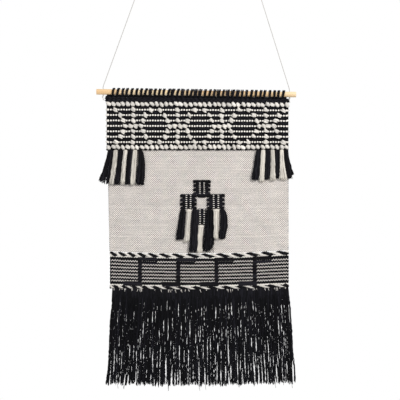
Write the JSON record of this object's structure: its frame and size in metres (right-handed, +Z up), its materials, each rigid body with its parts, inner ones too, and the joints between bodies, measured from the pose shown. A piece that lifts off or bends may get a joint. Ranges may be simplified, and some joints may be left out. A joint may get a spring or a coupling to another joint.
{
  "type": "tapestry wall hanging",
  "caption": "Black and cream woven tapestry lashed to a wooden dowel that hangs from a cord, with bands of tufted stars, a central motif, yarn tassels and a long fringe.",
  "frame": {"origin": "the hanging point: the middle of the cord's level stretch between the two wall hooks or nails that hold it", "axes": "+Z up, +X to the right seen from the front, +Y to the back, towards the wall, so that the front faces -Y"},
  "size_m": [0.5002, 0.02, 0.9855],
  "materials": {
    "pine": "bare sanded softwood, straight grain",
    "pale_cord": "thin twisted off-white cord, matt",
    "black_yarn": "black wool yarn, matt",
    "fringe_yarn": "black thread mixed with pale grey threads, matt",
    "cream_yarn": "thick loosely spun cream yarn, matt",
    "cream_cloth": "grey-beige plain weave with dark flecks, matt",
    "striped_cloth": "black cloth with thin cream zigzag stripes, matt"
  },
  "bodies": {
    "cord": {"hanging_cord": "pale_cord"},
    "dowel": {"dowel": "pine", "cord_knot_left": "pale_cord", "cord_knot_right": "pale_cord"},
    "cloth": {"dowel_lashing": "black_yarn", "heading_band": "black_yarn", "boucle_row_upper": "cream_yarn", "boucle_row_lower": "cream_yarn", "upper_band": "black_yarn", "pile_row_1": "cream_yarn", "pile_row_2": "cream_yarn", "pile_row_3": "cream_yarn", "pile_row_4": "cream_yarn", "pile_row_5": "cream_yarn", "pile_row_6": "cream_yarn", "pile_row_7": "cream_yarn", "cream_panel": "cream_cloth", "motif_crown": "black_yarn", "motif_left_arm": "black_yarn", "motif_right_arm": "black_yarn", "motif_stem": "black_yarn", "twined_border_upper": "cream_yarn", "twined_border_lower": "cream_yarn", "striped_band": "striped_cloth", "fret_1": "black_yarn", "fret_2": "black_yarn", "fret_3": "black_yarn", "fret_4": "black_yarn"},
    "left_tassel_1": {"left_tassel_1": "black_yarn"},
    "left_tassel_2": {"left_tassel_2": "cream_yarn"},
    "left_tassel_3": {"left_tassel_3": "black_yarn"},
    "left_tassel_4": {"left_tassel_4": "cream_yarn"},
    "left_tassel_5": {"left_tassel_5": "black_yarn"},
    "left_tassel_6": {"left_tassel_6": "cream_yarn"},
    "left_tassel_7": {"left_tassel_7": "black_yarn"},
    "right_tassel_1": {"right_tassel_1": "black_yarn"},
    "right_tassel_2": {"right_tassel_2": "cream_yarn"},
    "right_tassel_3": {"right_tassel_3": "black_yarn"},
    "right_tassel_4": {"right_tassel_4": "cream_yarn"},
    "right_tassel_5": {"right_tassel_5": "black_yarn"},
    "right_tassel_6": {"right_tassel_6": "cream_yarn"},
    "right_tassel_7": {"right_tassel_7": "black_yarn"},
    "motif_tassel_1": {"motif_tassel_1": "black_yarn"},
    "motif_tassel_2": {"motif_tassel_2": "cream_yarn"},
    "motif_tassel_3": {"motif_tassel_3": "black_yarn"},
    "motif_tassel_4": {"motif_tassel_4": "cream_yarn"},
    "motif_tassel_5": {"motif_tassel_5": "black_yarn"},
    "motif_tassel_6": {"motif_tassel_6": "cream_yarn"},
    "motif_tassel_7": {"motif_tassel_7": "black_yarn"},
    "fringe_1": {"fringe_1": "fringe_yarn"},
    "fringe_2": {"fringe_2": "fringe_yarn"},
    "fringe_3": {"fringe_3": "fringe_yarn"},
    "fringe_4": {"fringe_4": "fringe_yarn"},
    "fringe_5": {"fringe_5": "fringe_yarn"}
  },
  "joints": [
    {"name": "dowel_roll", "type": "hinge", "parent": "cord", "child": "dowel", "pos_m": [-0.00487, 0, -0.2445], "axis": [-0.9999, 0, 0.014], "range_deg": [-45, 45]},
    {"name": "cloth_swing", "type": "hinge", "parent": "dowel", "child": "cloth", "pos_m": [-0.005, 0, -0.254], "axis": [-0.9999, 0, 0.014], "range_deg": [-45, 90]},
    {"name": "left_tassel_1_swing", "type": "hinge", "parent": "cloth", "child": "left_tassel_1", "pos_m": [-0.219, -0.006, -0.3991], "axis": [-1, 0, 0], "range_deg": [0, 75]},
    {"name": "left_tassel_2_swing", "type": "hinge", "parent": "cloth", "child": "left_tassel_2", "pos_m": [-0.2067, -0.006, -0.3991], "axis": [-1, 0, 0], "range_deg": [0, 75]},
    {"name": "left_tassel_3_swing", "type": "hinge", "parent": "cloth", "child": "left_tassel_3", "pos_m": [-0.1944, -0.006, -0.3991], "axis": [-1, 0, 0], "range_deg": [0, 75]},
    {"name": "left_tassel_4_swing", "type": "hinge", "parent": "cloth", "child": "left_tassel_4", "pos_m": [-0.1821, -0.006, -0.3991], "axis": [-1, 0, 0], "range_deg": [0, 75]},
    {"name": "left_tassel_5_swing", "type": "hinge", "parent": "cloth", "child": "left_tassel_5", "pos_m": [-0.1698, -0.006, -0.3991], "axis": [-1, 0, 0], "range_deg": [0, 75]},
    {"name": "left_tassel_6_swing", "type": "hinge", "parent": "cloth", "child": "left_tassel_6", "pos_m": [-0.1575, -0.006, -0.3991], "axis": [-1, 0, 0], "range_deg": [0, 75]},
    {"name": "left_tassel_7_swing", "type": "hinge", "parent": "cloth", "child": "left_tassel_7", "pos_m": [-0.1452, -0.006, -0.3991], "axis": [-1, 0, 0], "range_deg": [0, 75]},
    {"name": "right_tassel_1_swing", "type": "hinge", "parent": "cloth", "child": "right_tassel_1", "pos_m": [0.1507, -0.006, -0.3991], "axis": [-1, 0, 0], "range_deg": [0, 75]},
    {"name": "right_tassel_2_swing", "type": "hinge", "parent": "cloth", "child": "right_tassel_2", "pos_m": [0.1623, -0.006, -0.3991], "axis": [-1, 0, 0], "range_deg": [0, 75]},
    {"name": "right_tassel_3_swing", "type": "hinge", "parent": "cloth", "child": "right_tassel_3", "pos_m": [0.1739, -0.006, -0.3991], "axis": [-1, 0, 0], "range_deg": [0, 75]},
    {"name": "right_tassel_4_swing", "type": "hinge", "parent": "cloth", "child": "right_tassel_4", "pos_m": [0.1855, -0.006, -0.3991], "axis": [-1, 0, 0], "range_deg": [0, 75]},
    {"name": "right_tassel_5_swing", "type": "hinge", "parent": "cloth", "child": "right_tassel_5", "pos_m": [0.1971, -0.006, -0.3991], "axis": [-1, 0, 0], "range_deg": [0, 75]},
    {"name": "right_tassel_6_swing", "type": "hinge", "parent": "cloth", "child": "right_tassel_6", "pos_m": [0.2087, -0.006, -0.3991], "axis": [-1, 0, 0], "range_deg": [0, 75]},
    {"name": "right_tassel_7_swing", "type": "hinge", "parent": "cloth", "child": "right_tassel_7", "pos_m": [0.2203, -0.006, -0.3991], "axis": [-1, 0, 0], "range_deg": [0, 75]},
    {"name": "motif_tassel_1_swing", "type": "hinge", "parent": "cloth", "child": "motif_tassel_1", "pos_m": [-0.0383, -0.006, -0.5471], "axis": [-1, 0, 0], "range_deg": [0, 75]},
    {"name": "motif_tassel_2_swing", "type": "hinge", "parent": "cloth", "child": "motif_tassel_2", "pos_m": [-0.0234, -0.006, -0.5471], "axis": [-1, 0, 0], "range_deg": [0, 75]},
    {"name": "motif_tassel_3_swing", "type": "hinge", "parent": "cloth", "child": "motif_tassel_3", "pos_m": [-0.0081, -0.006, -0.5471], "axis": [-1, 0, 0], "range_deg": [0, 75]},
    {"name": "motif_tassel_4_swing", "type": "hinge", "parent": "cloth", "child": "motif_tassel_4", "pos_m": [0.0072, -0.006, -0.5865], "axis": [-1, 0, 0], "range_deg": [0, 75]},
    {"name": "motif_tassel_5_swing", "type": "hinge", "parent": "cloth", "child": "motif_tassel_5", "pos_m": [0.0284, -0.006, -0.5471], "axis": [-1, 0, 0], "range_deg": [0, 75]},
    {"name": "motif_tassel_6_swing", "type": "hinge", "parent": "cloth", "child": "motif_tassel_6", "pos_m": [0.0453, -0.006, -0.5471], "axis": [-1, 0, 0], "range_deg": [0, 75]},
    {"name": "motif_tassel_7_swing", "type": "hinge", "parent": "cloth", "child": "motif_tassel_7", "pos_m": [0.06, -0.006, -0.5471], "axis": [-1, 0, 0], "range_deg": [0, 75]},
    {"name": "fringe_1_swing", "type": "hinge", "parent": "cloth", "child": "fringe_1", "pos_m": [-0.1701, 0, -0.7502], "axis": [-1, 0, 0], "range_deg": [-75, 75]},
    {"name": "fringe_2_swing", "type": "hinge", "parent": "cloth", "child": "fringe_2", "pos_m": [-0.0823, 0, -0.7502], "axis": [-1, 0, 0], "range_deg": [-75, 75]},
    {"name": "fringe_3_swing", "type": "hinge", "parent": "cloth", "child": "fringe_3", "pos_m": [0.0055, 0, -0.7502], "axis": [-1, 0, 0], "range_deg": [-75, 75]},
    {"name": "fringe_4_swing", "type": "hinge", "parent": "cloth", "child": "fringe_4", "pos_m": [0.0933, 0, -0.7502], "axis": [-1, 0, 0], "range_deg": [-75, 75]},
    {"name": "fringe_5_swing", "type": "hinge", "parent": "cloth", "child": "fringe_5", "pos_m": [0.1811, 0, -0.7502], "axis": [-1, 0, 0], "range_deg": [-75, 75]}
  ]
}
